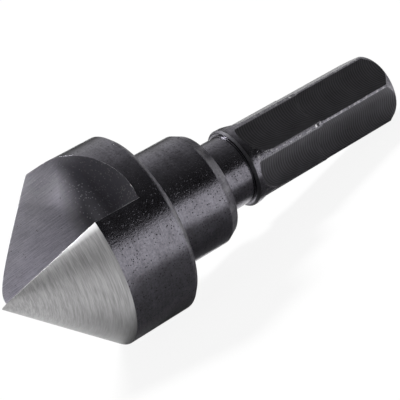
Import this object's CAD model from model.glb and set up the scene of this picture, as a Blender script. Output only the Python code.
from math import cos, pi, radians, sin

import bmesh
import bpy
import numpy as np
from mathutils import Matrix


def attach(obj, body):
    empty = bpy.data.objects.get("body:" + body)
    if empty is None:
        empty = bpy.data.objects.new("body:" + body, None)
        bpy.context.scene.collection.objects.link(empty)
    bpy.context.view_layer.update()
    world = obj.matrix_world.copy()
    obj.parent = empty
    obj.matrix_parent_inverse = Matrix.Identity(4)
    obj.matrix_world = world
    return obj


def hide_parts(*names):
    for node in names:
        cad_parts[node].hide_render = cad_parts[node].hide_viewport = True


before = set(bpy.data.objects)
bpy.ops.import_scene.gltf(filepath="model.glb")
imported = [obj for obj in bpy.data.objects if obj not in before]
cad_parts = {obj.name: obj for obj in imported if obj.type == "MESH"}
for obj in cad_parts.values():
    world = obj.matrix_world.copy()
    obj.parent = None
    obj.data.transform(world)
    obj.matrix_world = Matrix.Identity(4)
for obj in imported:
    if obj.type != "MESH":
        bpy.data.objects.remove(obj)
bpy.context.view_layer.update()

# ---- Countersink bit ------------------------------------------------------------------------
# High-speed steel turned from one bar, then ground on its cone and milled: a 16 mm head with
# one flute, a collar, a neck and a hexagonal shank, 40.2 mm long, as one closed mesh.
# Millimetres in the tool's frame: x towards the cutting edge, z from the point to the shank.

POINT = np.array([-20.28808481, 0, 10.34836175])     # the tool's origin in the shared frame
TOOL = np.array([                                    # its x, y and z axes, as columns
    [0.084315722, -0.15857481, 0.983740255],
    [-0.882947593, -0.469471563, 0.0],
    [0.461838075, -0.86859109, -0.17959708],
])
HEAD = 8.0                                           # radius
RELIEF = 0.05                                        # the cone is ground this far off the axis
RAKE, FLOOR = 0.5, 1.3                               # how far each passes from the axis
LEAN = radians(10)                                   # of the floor
RUNOUT = 7.5                                         # radius of the flute's run-out
CENTRE_T, CENTRE_V = 4.6, 2.3                        # its centre, along the tool and the floor
FILLET, WIDENING = 2.5, 0.9                          # between floor and run-out, and what it
WIDENS_FROM, WIDENS_OVER = 3.5, 3.0                  # gains along the floor
COLUMNS = 240                                        # round the tool
HALVINGS = 60                                        # of a range that holds a crossing

across = np.array([np.cos(LEAN), np.sin(LEAN)])      # square to the flute's floor
outwards = np.array([np.sin(LEAN), -np.cos(LEAN)])   # along it, from the corner to the rim
edge_x = np.sqrt(HEAD**2 - RAKE**2)                  # where the rake face meets the head's side
top_h = FLOOR + edge_x * np.cos(LEAN) + RAKE * np.sin(LEAN)  # and its height above the floor


def in_flute(t, v, h):
    """Points at t along the tool, v along the flute's floor and h above it."""
    t, v, h = np.broadcast_arrays(t, v, h)
    flat = (h[..., None] - FLOOR) * across + v[..., None] * outwards
    return np.concatenate([flat, t[..., None]], -1)


def round_axis(turn, radius, t):
    """Points at a turn about the axis, a radius from it and t along it."""
    return np.stack(np.broadcast_arrays(radius * np.cos(turn), radius * np.sin(turn), t), -1)


def cone_t(x, y):
    """Height of the ground cone: as far along the tool as the point is from the ground axis."""
    return RELIEF + np.hypot(x - RELIEF, y)


def wall_t(v, rho):
    """Height on a circle of radius rho about the run-out's centre, seen square to the floor."""
    return CENTRE_T + np.sqrt(np.maximum(rho**2 - (v - CENTRE_V) ** 2, 0))


def rake_v(h):
    """Where the flute's surface at height h meets the rake face."""
    return ((h - FLOOR) * np.sin(LEAN) - RAKE) / np.cos(LEAN)


def run_out(swing, climb, v):
    """Distance from the run-out's centre and height above the floor: a fillet that swings from
    the floor to the wall, then a climb up the wall. The fillet widens smoothly along the floor."""
    far = np.clip((v - WIDENS_FROM) / WIDENS_OVER, 0, 1)
    fillet = FILLET + WIDENING * far * far * (3 - 2 * far)
    height = fillet * (1 - np.cos(swing)) + (top_h - fillet) * climb
    return RUNOUT - fillet * (1 - np.sin(swing)), height


def rim_v(swing, climb):
    """Where the flute's rows leave the head: halved down to its cone, and to its cylinder."""
    found = []
    for surface in ("cone", "cylinder"):
        low, high = np.zeros_like(swing), np.full_like(swing, CENTRE_V + RUNOUT)
        for _ in range(HALVINGS):
            v = (low + high) / 2
            rho, h = run_out(swing, climb, v)
            x, y, t = np.moveaxis(in_flute(wall_t(v, rho), v, h), -1, 0)
            inside = cone_t(x, y) < t if surface == "cone" else np.hypot(x, y) < HEAD
            low, high = np.where(inside, v, low), np.where(inside, high, v)
        found.append(low)
    return found


# the flute's fillet and wall, row by row from the floor to the top corner of the run-out
FLOOR_ROWS, CONE_ROWS, FILLET_ROWS, WALL_ROWS, FLUTE_COLUMNS = 92, 28, 14, 44, 40
BASE = FLOOR_ROWS + CONE_ROWS                        # the row that ends on the cone's base
low, high = 0.0, np.pi / 2
for _ in range(HALVINGS):                            # the swing of the row on the cone's base
    half = np.array([(low + high) / 2])
    on_cone, on_cylinder = rim_v(half, np.zeros(1))
    low, high = (half[0], high) if on_cone[0] < on_cylinder[0] else (low, half[0])
swing = np.concatenate([
    np.linspace(0, low, CONE_ROWS + 1),
    np.linspace(low, np.pi / 2, FILLET_ROWS + 1)[1:],
    np.full(WALL_ROWS, np.pi / 2),
])
climb = np.concatenate([np.zeros(CONE_ROWS + FILLET_ROWS), np.linspace(0, 1, WALL_ROWS + 1)])
inner_v, outer_v = rake_v(run_out(swing, climb, 0.0)[1]), np.minimum(*rim_v(swing, climb))
outer_v[-1] = inner_v[-1]
flute_share = np.linspace(0, 1, FLUTE_COLUMNS + 1)
flute_v = inner_v[:, None] + flute_share * (outer_v - inner_v)[:, None]
flute_rho, flute_h = run_out(swing[:, None], climb[:, None], flute_v)
raised = in_flute(wall_t(flute_v, flute_rho), flute_v, flute_h)

# its flat floor: from the inner corner to the foot of the fillet, its outer side on the cone
along_floor = np.linspace(0, 1, FLOOR_ROWS + 1)[:, None]
corner_v = rake_v(0.0)
corner_x, corner_y = in_flute(0.0, corner_v, 0.0)[:2]
inner_corner = np.array([cone_t(corner_x, corner_y), corner_v])
foot = np.stack([wall_t(flute_v[0], flute_rho[0]), flute_v[0]], -1)
side_v = corner_v + along_floor[:, 0] * (foot[-1, 1] - corner_v)
side_xy = in_flute(0.0, side_v, 0.0)
side = np.stack([cone_t(side_xy[:, 0], side_xy[:, 1]), side_v], -1)
straight = inner_corner + along_floor * (foot[-1] - inner_corner)
floor_tv = inner_corner + along_floor[..., None] * (foot - inner_corner)
floor_tv = floor_tv + flute_share[:, None] * (side - straight)[:, None]
flute = np.concatenate([in_flute(floor_tv[:-1, :, 0], floor_tv[:-1, :, 1], 0.0), raised])

# the rake face: ruled between the flute's inner side and the cutting edge
cut_x = np.linspace(corner_x, edge_x, BASE + 1)
cut = np.stack([cut_x, np.full(BASE + 1, RAKE), cone_t(cut_x, RAKE)], -1)
above = np.linspace(cut[-1, 2], flute[-1, 0, 2], len(flute) - BASE)[1:]
above = np.stack([np.full(len(above), edge_x), np.full(len(above), RAKE), above], -1)
cut = np.concatenate([cut, above])
rake = flute[:, :1] + np.linspace(0, 1, 5)[:, None] * (cut - flute[:, 0])[:, None]

# the cone: from the cutting edge, the inner corner and the floor's outer side to its base
rim = flute[:, -1]
inner = np.concatenate([cut[BASE::-1], rim[1 : BASE + 1]])
inner_turn = np.unwrap(np.arctan2(inner[:, 1], inner[:, 0]))
round_share = np.linspace(0, 1, COLUMNS + 1)
base_turn = inner_turn[0] + round_share * (inner_turn[-1] - inner_turn[0])
base_t = cone_t(HEAD * np.cos(base_turn), HEAD * np.sin(base_turn))
to_base = np.linspace(0, 1, 15)[:, None] ** 1.15     # rows closer together at the point
cone_turn = inner_turn + to_base * (base_turn - inner_turn)
cone_height = inner[:, 2] + to_base * (base_t - inner[:, 2])
off_axis = RELIEF * np.sin(cone_turn)
cone_radius = RELIEF * np.cos(cone_turn) + np.sqrt((cone_height - RELIEF) ** 2 - off_axis**2)
cone = round_axis(cone_turn, cone_radius, cone_height)
cone[0] = inner

# the head's side: its rows go from the cutting edge round to the run-out's rim
left, right = cut[BASE:], rim[BASE:]
right_turn = np.concatenate([[base_turn[-1]], np.arctan2(right[:, 1], right[:, 0])])
right_turn = np.unwrap(right_turn)[1:]
upwards = np.linspace(0, 1, len(left))[:, None]
level = left[:, None, 2] + round_share * (right[:, 2] - left[:, 2])[:, None]
level = level + (1 - upwards) * (base_t - level[0])
side_turn = base_turn[0] + round_share * (right_turn - base_turn[0])[:, None]
ARCH, ARCH_TURN = 0.6, 0.5                           # the top row rises over the run-out
from_left = np.clip((side_turn - side_turn[:, :1]) / ARCH_TURN, 0, 1)
from_right = np.clip((side_turn[:, -1:] - side_turn) / ARCH_TURN, 0, 1)
level = level + ARCH * upwards**12 * (1 - (1 - from_left) ** 2) * (1 - (1 - from_right) ** 2)
head = round_axis(side_turn, HEAD, level)
head[:, 0], head[:, -1], head[0] = left, right, cone[-1]

# the rest of the head, the collar and the neck, turned: radius and place along the tool
turned = np.array([
    [8, 12.9], [8, 13.8], [7.6, 14.2], [7.2, 14.2], [5.5, 14.2], [5.1, 14.2], [5.1, 14.6],
    [5.1, 19.4], [5.1, 19.8], [4.65, 20.7], [4.3, 20.7], [3.45, 20.7], [3.15, 20.7],
    [3.15, 21.0], [3.15, 23.5], [3.15, 23.8],
])
round_turn = side_turn[-1]
body = np.concatenate([head[-1:], round_axis(round_turn, turned[:, :1], turned[:, 1:])])

# the shank: six flats, each milled in two passes, in columns that keep their place on a flat
SHANK, FRONT, REAR = 3.6, 3.225, 3.175               # its radius, and the depth of each pass
CUTTER, SIDESTEP = 2.15, -0.5                        # the mill, and the front pass's step aside
SHANK_AT, ROUND_TO, FLATS_AT, STEP_AT = 23.8, 24.0, 24.45, 30.9
CHAMFER_AT, END_AT, END_RADIUS = 39.35, 40.2, 3.18
CHAMFER_SLOPE = 0.85 / 0.42                          # along the tool for each unit of depth
FLAT_TURN, SIXTH = radians(51.7), radians(60)
LAND_ROWS, FRONT_ROWS, REAR_ROWS = 5, 25, 29
wide, narrow = np.sqrt(SHANK**2 - REAR**2), np.sqrt(SHANK**2 - FRONT**2)
flat_y = np.concatenate([[-wide], np.linspace(-narrow, narrow, 35), [wide]])
flat_turn = np.arcsin(flat_y / SHANK)
ACROSS_LAND = np.array([0.25, 0.5, 0.75])            # the columns between two flats
land_turn = flat_turn[-1] + ACROSS_LAND * (SIXTH + flat_turn[0] - flat_turn[-1])
column_turn = np.concatenate([flat_turn, land_turn])
on_flat = np.arange(len(column_turn)) < len(flat_y)
column_y, depth = SHANK * np.sin(column_turn), SHANK * np.cos(column_turn)


def mill_start(at, sidestep):
    """Where a pass starts in each column: on the mill's circle, and between flats blended."""
    inside = CUTTER - 0.02
    reach = np.clip(column_y - sidestep, -inside, inside)
    start_t = at + CUTTER - np.sqrt(CUTTER**2 - reach**2)
    first, last = start_t[0], start_t[len(flat_y) - 1]
    start_t[~on_flat] = last + ACROSS_LAND * (first - last)
    return start_t


front_t, step_t = mill_start(FLATS_AT, SIDESTEP), mill_start(STEP_AT, 0)
end_t = CHAMFER_AT + np.where(on_flat, (SHANK - np.hypot(REAR, column_y)) * CHAMFER_SLOPE, 0)
end_t = np.clip(end_t, CHAMFER_AT, END_AT)
front_depth, rear_depth = np.minimum(depth, FRONT), np.minimum(depth, REAR)
end_turn = np.where(on_flat, np.arctan2(column_y, rear_depth), column_turn)
end_radius = np.where(on_flat, np.minimum(END_RADIUS, REAR / np.cos(end_turn)), END_RADIUS)


def between(start_t, stop_t, rows):
    """Levels of a band of rows from one line of columns to another, evenly spaced."""
    return start_t + np.linspace(0, 1, rows)[:, None] * (stop_t - start_t)


def disc(radius, turn, at):
    """A ring of columns at one level."""
    return radius * np.sin(turn), radius * np.cos(turn), at + 0 * turn


# its rows as (aside, depth, level): the front face and chamfer, the round start of the flats,
# the front pass, the rear pass, and the end's chamfer and face down to the axis
bands = [disc(3.3, column_turn, SHANK_AT), disc(3.4, column_turn, SHANK_AT)]
bands += [(column_y, depth, row) for row in between(ROUND_TO, front_t, LAND_ROWS)]
bands += [(column_y, front_depth, row) for row in between(front_t, step_t, FRONT_ROWS)]
bands += [(column_y, rear_depth, row) for row in between(step_t, end_t, REAR_ROWS)]
bands += [disc(ring * end_radius, end_turn, END_AT) for ring in (1, 0.95, 0.66, 0.33, 0)]
MILLED_AT = 1 + LAND_ROWS                            # the last row in front of the flats
STEP_ROW, END_ROW = MILLED_AT + FRONT_ROWS, MILLED_AT + FRONT_ROWS + REAR_ROWS

sixths = FLAT_TURN + SIXTH * np.arange(6)[:, None]
shank, across_flat = [], []
for row_y, row_depth, row_t in bands:
    turns = sixths + np.arctan2(row_y, row_depth)
    radii, levels, asides = (
        np.broadcast_to(values, turns.shape).ravel()
        for values in (np.hypot(row_y, row_depth), row_t, row_y)
    )
    shank.append(round_axis(turns.ravel(), radii, levels))
    across_flat.append(asides)
shank, across_flat = np.array(shank), np.array(across_flat)
away = np.abs(((sixths + column_turn).ravel() - round_turn[0] + pi) % (2 * pi) - pi)
start = np.argmin(away)                              # the column nearest to the body's first
order = np.append((np.arange(COLUMNS) + start) % COLUMNS, start)
shank, across_flat = shank[:, order], across_flat[:, order]
shoulder = np.concatenate([body[-1:], shank[:1]])

# how much of the softening each point has room for: none where edges meet at a point
sharp_points = np.array([flute[0, 0], flute[-1, 0], cut[BASE], rim[BASE]])
ROOM = 2.5                                           # from such a point to the full softening


def edge_room(grid):
    """Distance to the nearest sharp point over ROOM, at most 1."""
    distance = np.linalg.norm(grid[..., None, :] - sharp_points, axis=-1).min(-1)
    return np.clip(distance / ROOM, 0, 1)


# on the shank: none along the step between the passes, and less where the start of a flat is
# shallow or the end's chamfer runs out
shank_room = np.ones(shank.shape[:2])
start_room = np.clip((depth - FRONT - 0.02) / 0.1, 0, 1)
end_room = np.where(on_flat, np.clip((END_AT - end_t) / 0.3, 0, 1), 1)
for row, room in ((MILLED_AT, start_room), (STEP_ROW, 0 * start_room), (END_ROW, end_room)):
    shank_room[row] = shank_room[row + 1] = np.tile(room, 6)[order]

# all grids as one mesh, each with its finish: 0 black oxide, 1 ground, 2 flute, 3 flats
points, faces, finishes, places, rooms = [], [], [], [], []
count = 0
for grid, finish in (
    (flute, 2), (rake, 2), (cone, 1), (head, 0), (body, 0), (shoulder, 0), (shank, None),
):
    rows, columns = grid.shape[:2]
    index = np.arange(rows * columns).reshape(rows, columns) + count
    quads = np.stack([index[:-1, :-1], index[1:, :-1], index[1:, 1:], index[:-1, 1:]], -1)
    points.append(grid.reshape(-1, 3))
    faces.append(quads.reshape(-1, 4))
    if finish is None:
        on_a_flat = np.abs(across_flat) <= wide + 1e-6
        number = np.arange(rows - 1)[:, None]
        milled = on_a_flat[:-1, :-1] & on_a_flat[:-1, 1:]
        milled = milled & (number > MILLED_AT) & (number < END_ROW)
        finishes.append(np.where(milled, 3, 0).ravel())
        places.append(across_flat.ravel())
        rooms.append(shank_room.ravel())
    else:
        finishes.append(np.full((rows - 1) * (columns - 1), finish))
        places.append(np.zeros(rows * columns))
        rooms.append(edge_room(grid).ravel())
    count += rows * columns
points, faces, finishes = np.concatenate(points), np.concatenate(faces), np.concatenate(finishes)

mesh = bpy.data.meshes.new("countersink_bit_detailed")
mesh.from_pydata(((POINT + points @ TOOL.T) / 1000).tolist(), [], faces.tolist())
mesh.polygons.foreach_set("material_index", finishes.astype(np.int32))
mesh.polygons.foreach_set("use_smooth", np.ones(len(faces), bool))
flat_place = np.stack([points[:, 2], np.concatenate(places), np.zeros(count)], -1)
attribute = mesh.attributes.new("flat_place", "FLOAT_VECTOR", "POINT")
attribute.data.foreach_set("vector", flat_place.astype(np.float32).ravel())
attribute = mesh.attributes.new("edge_room", "FLOAT", "POINT")
attribute.data.foreach_set("value", np.concatenate(rooms).astype(np.float32))

# the grids share their border points, which are merged, and edges between faces that meet at
# more than 14 degrees are softened by 0.045 mm, both here in metres
SAME_POINT, SOFTENED, SOFTEN_FROM = 2e-7, 0.000045, radians(14)
bm = bmesh.new()
bm.from_mesh(mesh)
bmesh.ops.remove_doubles(bm, verts=bm.verts, dist=SAME_POINT)
bmesh.ops.recalc_face_normals(bm, faces=bm.faces)
weight = bm.edges.layers.float.new("bevel_weight_edge")
room_layer = bm.verts.layers.float["edge_room"]
wear_layer = bm.verts.layers.float.new("edge_wear")
for edge in bm.edges:
    if edge.calc_face_angle(0) > SOFTEN_FROM:
        edge[weight] = min(vertex[room_layer] for vertex in edge.verts)
        edge.smooth = edge[weight] > 0
        for vertex in edge.verts:
            vertex[wear_layer] = 1
bm.to_mesh(mesh)
bm.free()

bit = bpy.data.objects.new("countersink_bit_detailed", mesh)
bpy.context.collection.objects.link(bit)
soft = bit.modifiers.new("softened_edges", "BEVEL")
soft.limit_method, soft.width, soft.segments = "WEIGHT", SOFTENED, 2
soft.use_clamp_overlap, soft.harden_normals = False, True
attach(bit, "root")
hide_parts("countersink_bit")


class Wire:
    """A node's output in one node tree, which adds, multiplies and compares like a number. One
    with no output yet is where a tree's first nodes are made from."""

    def __init__(self, tree, socket):
        self.tree, self.socket = tree, socket

    def node(self, kind, settings, sockets, output=0):
        """A node of a type: its settings first, then its sockets, each a wire or a value."""
        made = self.tree.nodes.new(kind)
        for name, value in settings.items():
            setattr(made, name, value)
        for name, value in sockets.items():
            if isinstance(value, Wire):
                self.tree.links.new(value.socket, made.inputs[name])
            else:
                made.inputs[name].default_value = value
        return Wire(self.tree, made.outputs[output])

    def math(self, operation, *others):
        sockets = dict(enumerate((self, *others)))
        return self.node("ShaderNodeMath", {"operation": operation}, sockets)

    def vector(self, operation, *others, output=0):
        sockets = dict(enumerate((self, *others)))
        return self.node("ShaderNodeVectorMath", {"operation": operation}, sockets, output)

    def __add__(self, other):
        return self.math("ADD", other)

    def __mul__(self, other):
        return self.math("MULTIPLY", other)

    def __sub__(self, other):
        return self.math("SUBTRACT", other)

    def __rsub__(self, other):
        return (self * -1) + other

    def __lt__(self, other):
        return self.math("LESS_THAN", other)

    __radd__, __rmul__ = __add__, __mul__

    def larger(self, other):
        """The larger of two numbers: either of two masks."""
        return self.math("MAXIMUM", other)

    def along(self, direction):
        """How far a vector reaches along a direction."""
        return self.vector("DOT_PRODUCT", direction, output="Value")

    def ramp(self, low, high, start=0.0, end=1.0):
        """The number taken smoothly from start to end as it goes from low to high."""
        sockets = {"Value": self, "From Min": low, "From Max": high}
        sockets.update({"To Min": start, "To Max": end})
        return self.node("ShaderNodeMapRange", {"interpolation_type": "SMOOTHSTEP"}, sockets)

    def band(self, empty, full, still_full, gone):
        """1 from full to still_full, and smoothly down to 0 at empty and at gone."""
        return self.ramp(empty, full) * self.ramp(still_full, gone, 1.0, 0.0)

    def near(self, middle, full, gone):
        """1 within full of the middle, and smoothly down to 0 at gone from it."""
        return (self - middle).math("ABSOLUTE").ramp(full, gone, 1.0, 0.0)

    def noise(self, scale, detail=2.0, roughness=0.5):
        """Cloudy noise from 0 to 1, its scale in lumps a millimetre."""
        sockets = {"Vector": self, "Scale": scale, "Detail": detail, "Roughness": roughness}
        return self.node("ShaderNodeTexNoise", {}, sockets)

    def spots(self, scale, middle, rim):
        """Scattered round spots, a number of them a millimetre: 1 in the middle, 0 outside."""
        cell = self.node("ShaderNodeTexVoronoi", {}, {"Vector": self, "Scale": scale}, "Distance")
        return cell.ramp(middle, rim, 1.0, 0.0)

    def colours(self, first, second):
        """A colour mixed from the first, at 0, to the second, at 1."""
        pair = [each if isinstance(each, Wire) else (*each, 1) for each in (first, second)]
        sockets = {0: self, 6: pair[0], 7: pair[1]}  # the sockets that carry colours
        return self.node("ShaderNodeMix", {"data_type": "RGBA"}, sockets, 2)


def steel(name):
    """A metal, with its shader, its place in the tool's frame in millimetres, how far that is
    along the tool, the direction round the axis, and how near an edge it is."""
    material = bpy.data.materials.new(name)
    material.use_nodes = True
    tree = material.node_tree
    shader = tree.nodes["Principled BSDF"]
    shader.inputs["Metallic"].default_value = 1
    place = Wire(tree, None).node("ShaderNodeTexCoord", {}, {}, "Object")
    sockets = {
        "Vector": place,
        "Location": (-TOOL.T @ POINT).tolist(),
        "Rotation": Matrix(TOOL.T.tolist()).to_euler(),
        "Scale": (1000, 1000, 1000),
    }
    place = place.node("ShaderNodeMapping", {}, sockets)
    round_tool = place.vector("MULTIPLY", (1, 1, 0)).vector("NORMALIZE")
    wear = place.node("ShaderNodeAttribute", {"attribute_name": "edge_wear"}, {}, "Fac")
    mesh.materials.append(material)
    return shader, place, place.along((0, 0, 1)), round_tool, wear


def streaks(round_tool, t, turns, pitch, detail=3.0):
    """Noise drawn out round the tool: turns sets its length and pitch its lines a millimetre."""
    sockets = {0: round_tool, "Scale": turns}
    stretched = round_tool.node("ShaderNodeVectorMath", {"operation": "SCALE"}, sockets)
    lines = t.node("ShaderNodeCombineXYZ", {}, {"Z": t * pitch})
    return stretched.vector("ADD", lines).noise(1.0, detail, 0.6)


def finish_steel(shader, colour, roughness, height, distance):
    """Sets the shader's colour, roughness and bump, its depth in metres."""
    sockets = {"Strength": 1.0, "Distance": distance, "Height": height}
    bump = colour.node("ShaderNodeBump", {}, sockets)
    for name, wire in (("Base Color", colour), ("Roughness", roughness), ("Normal", bump)):
        colour.tree.links.new(wire.socket, shader.inputs[name])


# the flute's own two directions, which place what the materials show near it
FLUTE_OUT, FLUTE_UP = (*outwards.tolist(), 0), (*across.tolist(), 0)

# black oxide on the turned surfaces: lilac black with turning lines and small pits, rubbed
# bright along the run-out's rim, in patches of the edges and on the lands between the flats,
# and darkest on the flute's far rim and round the shank's shoulder
shader, place, t, round_tool, wear = steel("black_oxide")
v = place.along(FLUTE_OUT)
lines = streaks(round_tool, t, turns=1.4, pitch=7.0)
cloud = place.noise(0.55, detail=4.0, roughness=0.6)
grain = place.noise(5.5, detail=3.0, roughness=0.75)
pits = place.spots(4.6, 0.12, 0.3) * place.noise(1.8).ramp(0.42, 0.54)
bright_rim = t.band(10.0, 10.8, 12.2, 12.4) * v.band(0.0, 0.3, 4.5, 5.5)
rubbed_edges = wear.ramp(0.86, 1.0) * (cloud.ramp(0.42, 0.6) * 0.2).larger(bright_rim)
worn_lands = place.noise(2.4, detail=4.0, roughness=0.7).ramp(0.5, 0.62)
worn_lands = worn_lands * t.band(24.2, 24.8, 38.9, 39.4) * 0.3
burr = t.near(31.05, 0.05, 0.12) * 0.8               # across each land, at the step between
pits = pits.larger(t.near(31.27, 0.06, 0.14))        # the two passes, and a notch behind it
far_rim = v.ramp(5.0, 5.8) * t.band(9.0, 10.0, 12.3, 12.6)
shoulder_ring = t.band(23.4, 23.6, 24.2, 24.4) * 0.8
dark_edges = wear.ramp(0.4, 0.9) * far_rim.larger(shoulder_ring)
oxide = (cloud * 0.45 + lines * 0.25 + grain * 0.6).ramp(0.4, 0.9)
colour = oxide.colours((0.108, 0.103, 0.118), (0.275, 0.266, 0.303))
colour = pits.colours(colour, (0.02, 0.02, 0.022))
colour = rubbed_edges.larger(worn_lands).larger(burr).colours(colour, (0.85, 0.84, 0.86))
colour = dark_edges.colours(colour, (0.03, 0.03, 0.033))
roughness = 0.1 + cloud * 0.12 + grain * 0.08 + wear.ramp(0.8, 1.0) * 0.35
height = lines * 0.5 + grain * 2.0 - pits * 2.4
finish_steel(shader, colour, roughness, height, distance=0.000006)

# the ground cone: bright steel with short grinding marks that run round it, brightest in a
# honed strip beside the cutting edge and dull on the side a quarter turn behind it
shader, place, t, round_tool, wear = steel("ground_cone")
HONED, DULL = radians(2), radians(96)                # turns from the cutting edge
lines = streaks(round_tool, t, turns=2.6, pitch=9.0, detail=4.0)
fine = streaks(round_tool, t, turns=7.0, pitch=26.0, detail=2.0)
cloud = place.noise(0.5, detail=3.0)
honed = round_tool.along((cos(HONED), sin(HONED), 0)).ramp(0.993, 0.9998)
dull = round_tool.along((cos(DULL), sin(DULL), 0)).ramp(0.72, 1.0)
marks = (lines * 0.6 + fine * 0.4).ramp(0.3, 0.7)
colour = marks.colours((0.235, 0.233, 0.236), (0.41, 0.407, 0.412))
colour = (dull * t.ramp(2.5, 7.0) * 0.65).colours(colour, (0.1, 0.1, 0.102))
colour = (honed * t.ramp(4.0, 6.5) * 0.9).colours(colour, (0.78, 0.78, 0.79))
roughness = 0.27 + cloud * 0.14 + lines * 0.06
finish_steel(shader, colour, roughness, lines + fine * 0.6, distance=0.0000055)

# the flute: satin steel with straight scratches a little off the axis, which turns dark with
# oxide and flecked where the run-out rises and towards its far side
shader, place, t, round_tool, wear = steel("milled_flute")
v, u = place.along(FLUTE_OUT), place.along(FLUTE_UP)
SLANT = radians(5.5)
over, length = v * cos(SLANT) - t * sin(SLANT), t * cos(SLANT) + v * sin(SLANT)
sockets = {"X": over * 13.0, "Y": length * 0.6, "Z": u * 0.8}
scratch = t.node("ShaderNodeCombineXYZ", {}, sockets).noise(1.0, detail=4.0, roughness=0.65)
cloud = place.noise(0.45, detail=4.0, roughness=0.6)
grain = place.noise(8.0, detail=3.0, roughness=0.7)
pits = place.spots(3.1, 0.05, 0.16) * place.noise(1.4, detail=1.0).ramp(0.5, 0.62)
from_centre = (t - CENTRE_T) * (t - CENTRE_T) + (v - CENTRE_V) * (v - CENTRE_V)
dark = (from_centre.math("SQRT") - ((v - 3.0) * 0.4).larger(0.0)).ramp(4.4, 6.4)
dark = dark.larger(v.ramp(4.3, 7.3) * t.ramp(6.0, 9.0) * 0.62)
flecks = place.spots(4.2, 0.14, 0.3) * place.noise(1.7).ramp(0.4, 0.52) * dark * 0.3
bright_rim = wear.ramp(0.8, 1.0) * v.ramp(4.5, 5.5, 1.0, 0.0) * t.ramp(9.8, 10.8)
satin = (scratch * 0.75 + cloud * 0.25 + grain * 0.3).ramp(0.42, 0.82)
colour = satin.colours((0.6, 0.59, 0.645), (0.92, 0.905, 0.95))
colour = dark.colours(colour, (0.085, 0.083, 0.092))
colour = (pits * (1.0 - dark)).colours(colour, (0.03, 0.03, 0.033))
colour = flecks.larger(bright_rim).colours(colour, (0.85, 0.84, 0.86))
roughness = dark * -0.2 + 0.72 + cloud * 0.1
finish_steel(shader, colour, roughness, scratch + grain - pits, distance=0.0000085)

# the flats: dark, with the arcs that the end mill leaves a quarter of a millimetre apart
shader, place, t, round_tool, wear = steel("milled_flats")
spot = place.node("ShaderNodeAttribute", {"attribute_name": "flat_place"}, {}, "Vector")
t, y = spot.along((1, 0, 0)), spot.along((0, 1, 0))
FEED, PASSES_MEET = 0.25, 31.2
from_middle = (t < PASSES_MEET) * -SIDESTEP + y
arc = (CUTTER**2 - from_middle * from_middle).larger(0.0).math("SQRT")
cloud = place.noise(0.6, detail=4.0, roughness=0.6)
wave = ((t + arc) * (2 * pi / FEED) + cloud * 2.0).math("SINE") * 0.5 + 0.5
grain = place.noise(9.0, detail=3.0, roughness=0.7)
rubbed = wear.ramp(0.8, 1.0) * cloud.ramp(0.4, 0.6) * 0.5
colour = (wave * 0.5 + cloud * 0.5).colours((0.09, 0.088, 0.095), (0.28, 0.275, 0.3))
colour = rubbed.colours(colour, (0.42, 0.41, 0.44))
height = wave * 0.8 + grain * 0.4
finish_steel(shader, colour, 0.24 + cloud * 0.12, height, distance=0.0000032)

# ---- Floor ----------------------------------------------------------------------------------
# A plain white sheet 4 m square. The camera sees it nearly as a white of its own, through
# which a tenth of the bit's shadow shows.
floor_mesh = bpy.data.meshes.new("floor")
floor_mesh.from_pydata([(-2, -2, 0), (2, -2, 0), (2, 2, 0), (-2, 2, 0)], [], [(0, 1, 2, 3)])
floor = bpy.data.objects.new("floor", floor_mesh)
bpy.context.collection.objects.link(floor)
white = bpy.data.materials.new("white_floor")
white.use_nodes = True
floor_tree = white.node_tree
matt = floor_tree.nodes["Principled BSDF"]
matt.inputs["Base Color"].default_value = (0.95, 0.95, 0.95, 1)
matt.inputs["Roughness"].default_value = 1
matt.inputs["Specular IOR Level"].default_value = 0
ray = Wire(floor_tree, None)
seen = ray.node("ShaderNodeLightPath", {}, {}, "Is Camera Ray")
glossy = ray.node("ShaderNodeLightPath", {}, {}, "Is Glossy Ray")
clear = ray.node("ShaderNodeLightPath", {}, {}, "Is Transmission Ray")
shine = ray.node("ShaderNodeEmission", {}, {"Color": (1, 1, 1, 1), "Strength": 1.0})
white_share = seen * 0.9 + glossy * 0.02 + clear * 0.02
lit = Wire(floor_tree, matt.outputs["BSDF"])
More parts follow.
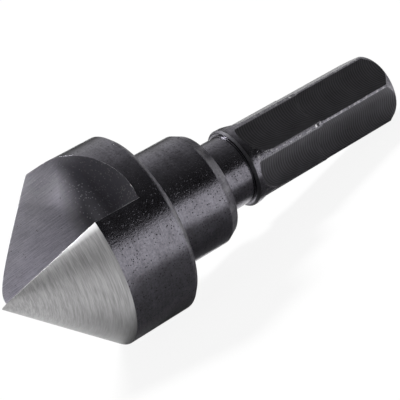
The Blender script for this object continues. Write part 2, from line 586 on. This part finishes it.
sheet = ray.node("ShaderNodeMixShader", {}, {0: white_share, 1: lit, 2: shine})
floor_tree.links.new(sheet.socket, floor_tree.nodes["Material Output"].inputs["Surface"])
floor_mesh.materials.append(white)

# ---- Studio ---------------------------------------------------------------------------------
# A dim room with a broad light behind, a small one and a low one on the left, the key lamp
# from behind, and the camera.
world = bpy.context.scene.world or bpy.data.worlds.new("studio")
bpy.context.scene.world = world
world.use_nodes = True
sky = world.node_tree
view = Wire(sky, None).node("ShaderNodeTexCoord", {}, {}, "Generated").vector("NORMALIZE")


def lamp(azimuth, elevation, tightness, strength):
    """Soft light from one direction: strength times e to a power, which is tightness times the
    difference between the cosine of the angle from its middle and 1, so 0 in the middle."""
    a, e = radians(azimuth), radians(elevation)
    middle = (cos(e) * cos(a), cos(e) * sin(a), sin(e))
    return ((view.along(middle) - 1.0) * tightness).math("EXPONENT") * strength


panel = lamp(57, 33, tightness=3.4, strength=0.62)
panel = panel * view.along((0, 0, 1)).ramp(0.22, 0.46, 0.22, 1.0)
small = lamp(-166, 31, tightness=110.0, strength=5.5)
low_glow = lamp(-165, 8, tightness=9.0, strength=0.42)
light = panel + small + low_glow + 0.03
sky.links.new(light.socket, sky.nodes["Background"].inputs["Strength"])
sky.nodes["Background"].inputs["Color"].default_value = (1, 1, 1, 1)

KEY_AZIMUTH, KEY_ELEVATION = radians(105), radians(55)
sun = bpy.data.lights.new("key", "SUN")
sun.energy = 3.55
sun.angle = radians(12)
key = bpy.data.objects.new("key", sun)
bpy.context.collection.objects.link(key)
key.rotation_euler = (pi / 2 - KEY_ELEVATION, 0, pi / 2 + KEY_AZIMUTH)

lens = bpy.data.cameras.new("camera")
lens.lens = 108
lens.sensor_width = 36
lens.clip_start = 0.005
camera = bpy.data.objects.new("camera", lens)
bpy.context.collection.objects.link(camera)
camera.location = (-0.03802696, -0.08987682, 0.03342843)
camera.rotation_euler = (radians(71.01076), radians(33.14021), radians(-33.11145))
bpy.context.scene.camera = camera
bpy.context.scene.view_settings.view_transform = "Standard"
